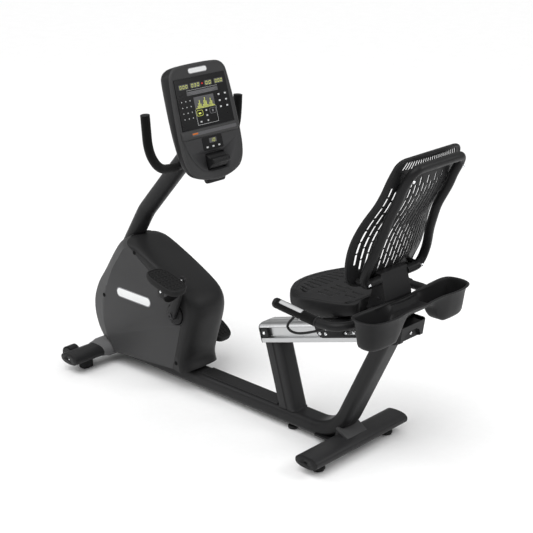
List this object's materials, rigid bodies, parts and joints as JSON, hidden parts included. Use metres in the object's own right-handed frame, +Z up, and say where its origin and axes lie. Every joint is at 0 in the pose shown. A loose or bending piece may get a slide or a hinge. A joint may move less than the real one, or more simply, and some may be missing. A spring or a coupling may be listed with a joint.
{
  "type": "recumbent exercise bike",
  "caption": "Floor-standing recumbent exercise bike with a sliding seat on an inclined rail, a ventilated backrest, pedals, a bent mast and a tilted console.",
  "frame": {"origin": "on the floor, at the middle of the bike's length and width", "axes": "+X towards the backrest, -X towards the console, -Y the rider's left, +Z up"},
  "size_m": [1.7158, 0.558, 1.3039],
  "materials": {
    "frame_paint": "satin",
    "cover_plastic": "matte",
    "spine_plastic": "matte",
    "collar_plastic": "matte",
    "black_plastic": "matte",
    "seat_plastic": "textured",
    "rubber": "matte",
    "foam": "foam",
    "aluminium": "brushed",
    "steel": "polished",
    "screen": "gloss"
  },
  "bodies": {
    "frame": {"base_frame": "frame_paint", "front_upright": "frame_paint", "step_cover": "spine_plastic", "front_stabiliser": "frame_paint", "rear_stabiliser": "frame_paint", "front_left_cap": "black_plastic", "front_right_cap": "black_plastic", "rear_left_cap": "black_plastic", "rear_right_cap": "black_plastic", "rear_saddle": "frame_paint", "rear_left_foot": "rubber", "rear_right_foot": "rubber", "front_left_foot": "rubber", "front_right_foot": "rubber", "mast": "frame_paint", "seat_rail": "aluminium", "rail_front_cap": "black_plastic", "rail_rear_cover": "black_plastic", "drive_frame": "frame_paint", "drive_belt": "rubber", "left_side_cover": "cover_plastic", "right_side_cover": "cover_plastic", "spine_cover": "spine_plastic", "front_collar": "collar_plastic", "handlebar": "frame_paint", "left_bar_grip": "foam", "right_bar_grip": "foam", "console_housing": "black_plastic", "console_bezel": "cover_plastic", "display_lens": "screen"},
    "left_wheel": {"left_transport_wheel": "rubber"},
    "right_wheel": {"right_transport_wheel": "rubber"},
    "crank": {"crank_axle": "steel", "drive_pulley": "black_plastic", "left_crank_arm": "frame_paint", "right_crank_arm": "frame_paint", "left_crank_disc": "black_plastic", "right_crank_disc": "black_plastic"},
    "left_pedal_swing": {"left_pedal": "rubber", "left_pedal_strap": "rubber"},
    "right_pedal_swing": {"right_pedal": "rubber", "right_pedal_strap": "rubber"},
    "brake": {"brake_rotor": "steel"},
    "paddle": {"resistance_paddle": "black_plastic"},
    "seat": {"seat_carriage": "frame_paint", "seat_post": "frame_paint", "seat_pan": "seat_plastic", "seat_handles": "frame_paint", "left_seat_grip": "foam", "right_seat_grip": "foam", "back_block": "frame_paint", "backrest_tube": "frame_paint", "backrest_shell": "seat_plastic", "bucket_tray": "seat_plastic"},
    "front_left_wheel": {"front_left_roller": "steel"},
    "front_right_wheel": {"front_right_roller": "steel"},
    "rear_left_wheel": {"rear_left_roller": "steel"},
    "rear_right_wheel": {"rear_right_roller": "steel"},
    "lever": {"seat_lever": "black_plastic"},
    "lock": {"lock_plunger": "steel"}
  },
  "joints": [
    {"name": "left_wheel_roll", "type": "hinge", "parent": "frame", "child": "left_wheel", "pos_m": [-0.8259, -0.205, 0.046], "axis": [0, 1, 0], "continuous": true},
    {"name": "right_wheel_roll", "type": "hinge", "parent": "frame", "child": "right_wheel", "pos_m": [-0.8259, 0.205, 0.046], "axis": [0, 1, 0], "continuous": true},
    {"name": "crank_spin", "type": "hinge", "parent": "frame", "child": "crank", "pos_m": [-0.2999, 0, 0.332], "axis": [0, 1, 0], "continuous": true},
    {"name": "left_pedal_spin", "type": "hinge", "parent": "crank", "child": "left_pedal_swing", "pos_m": [-0.23159, -0.186, 0.49529], "axis": [0, 1, 0], "continuous": true},
    {"name": "right_pedal_spin", "type": "hinge", "parent": "crank", "child": "right_pedal_swing", "pos_m": [-0.36821, 0.186, 0.16871], "axis": [0, 1, 0], "continuous": true},
    {"name": "brake_spin", "type": "hinge", "parent": "frame", "child": "brake", "pos_m": [-0.5649, 0, 0.3], "axis": [0, 1, 0], "continuous": true},
    {"name": "paddle_rock", "type": "hinge", "parent": "frame", "child": "paddle", "pos_m": [-0.17028, 0, 0.95287], "axis": [0, 1, 0], "range_deg": [-12, 12], "stiffness_Nm_per_rad": 1.5},
    {"name": "seat_slide", "type": "slide", "parent": "frame", "child": "seat", "axis": [0.9583, 0, 0.2857], "range_m": [-0.23, 0.008]},
    {"name": "front_left_roll", "type": "hinge", "parent": "seat", "child": "front_left_wheel", "pos_m": [0.42713, -0.0495, 0.45283], "axis": [0, 1, 0], "range_deg": [-780, 40]},
    {"name": "front_right_roll", "type": "hinge", "parent": "seat", "child": "front_right_wheel", "pos_m": [0.42713, 0.0495, 0.45283], "axis": [0, 1, 0], "range_deg": [-780, 40]},
    {"name": "rear_left_roll", "type": "hinge", "parent": "seat", "child": "rear_left_wheel", "pos_m": [0.69067, -0.0495, 0.53139], "axis": [0, 1, 0], "range_deg": [-780, 40]},
    {"name": "rear_right_roll", "type": "hinge", "parent": "seat", "child": "rear_right_wheel", "pos_m": [0.69067, 0.0495, 0.53139], "axis": [0, 1, 0], "range_deg": [-780, 40]},
    {"name": "lever_squeeze", "type": "hinge", "parent": "seat", "child": "lever", "pos_m": [0.5801, -0.2255, 0.563], "axis": [0, 1, 0], "range_deg": [0, 12], "stiffness_Nm_per_rad": 0.6, "springref_deg": -14.32},
    {"name": "lock_lift", "type": "slide", "parent": "seat", "child": "lock", "axis": [-0.2857, 0, 0.9583], "range_m": [0, 0.0026]}
  ],
  "couplings": [
    {"joint": "brake_spin", "follows": "crank_spin", "ratio": 3.2857},
    {"joint": "front_left_roll", "follows": "seat_slide", "rad_per_m": 58.14},
    {"joint": "front_right_roll", "follows": "seat_slide", "rad_per_m": 58.14},
    {"joint": "rear_left_roll", "follows": "seat_slide", "rad_per_m": 58.14},
    {"joint": "rear_right_roll", "follows": "seat_slide", "rad_per_m": 58.14},
    {"joint": "lock_lift", "follows": "lever_squeeze", "m_per_rad": 0.0115}
  ]
}
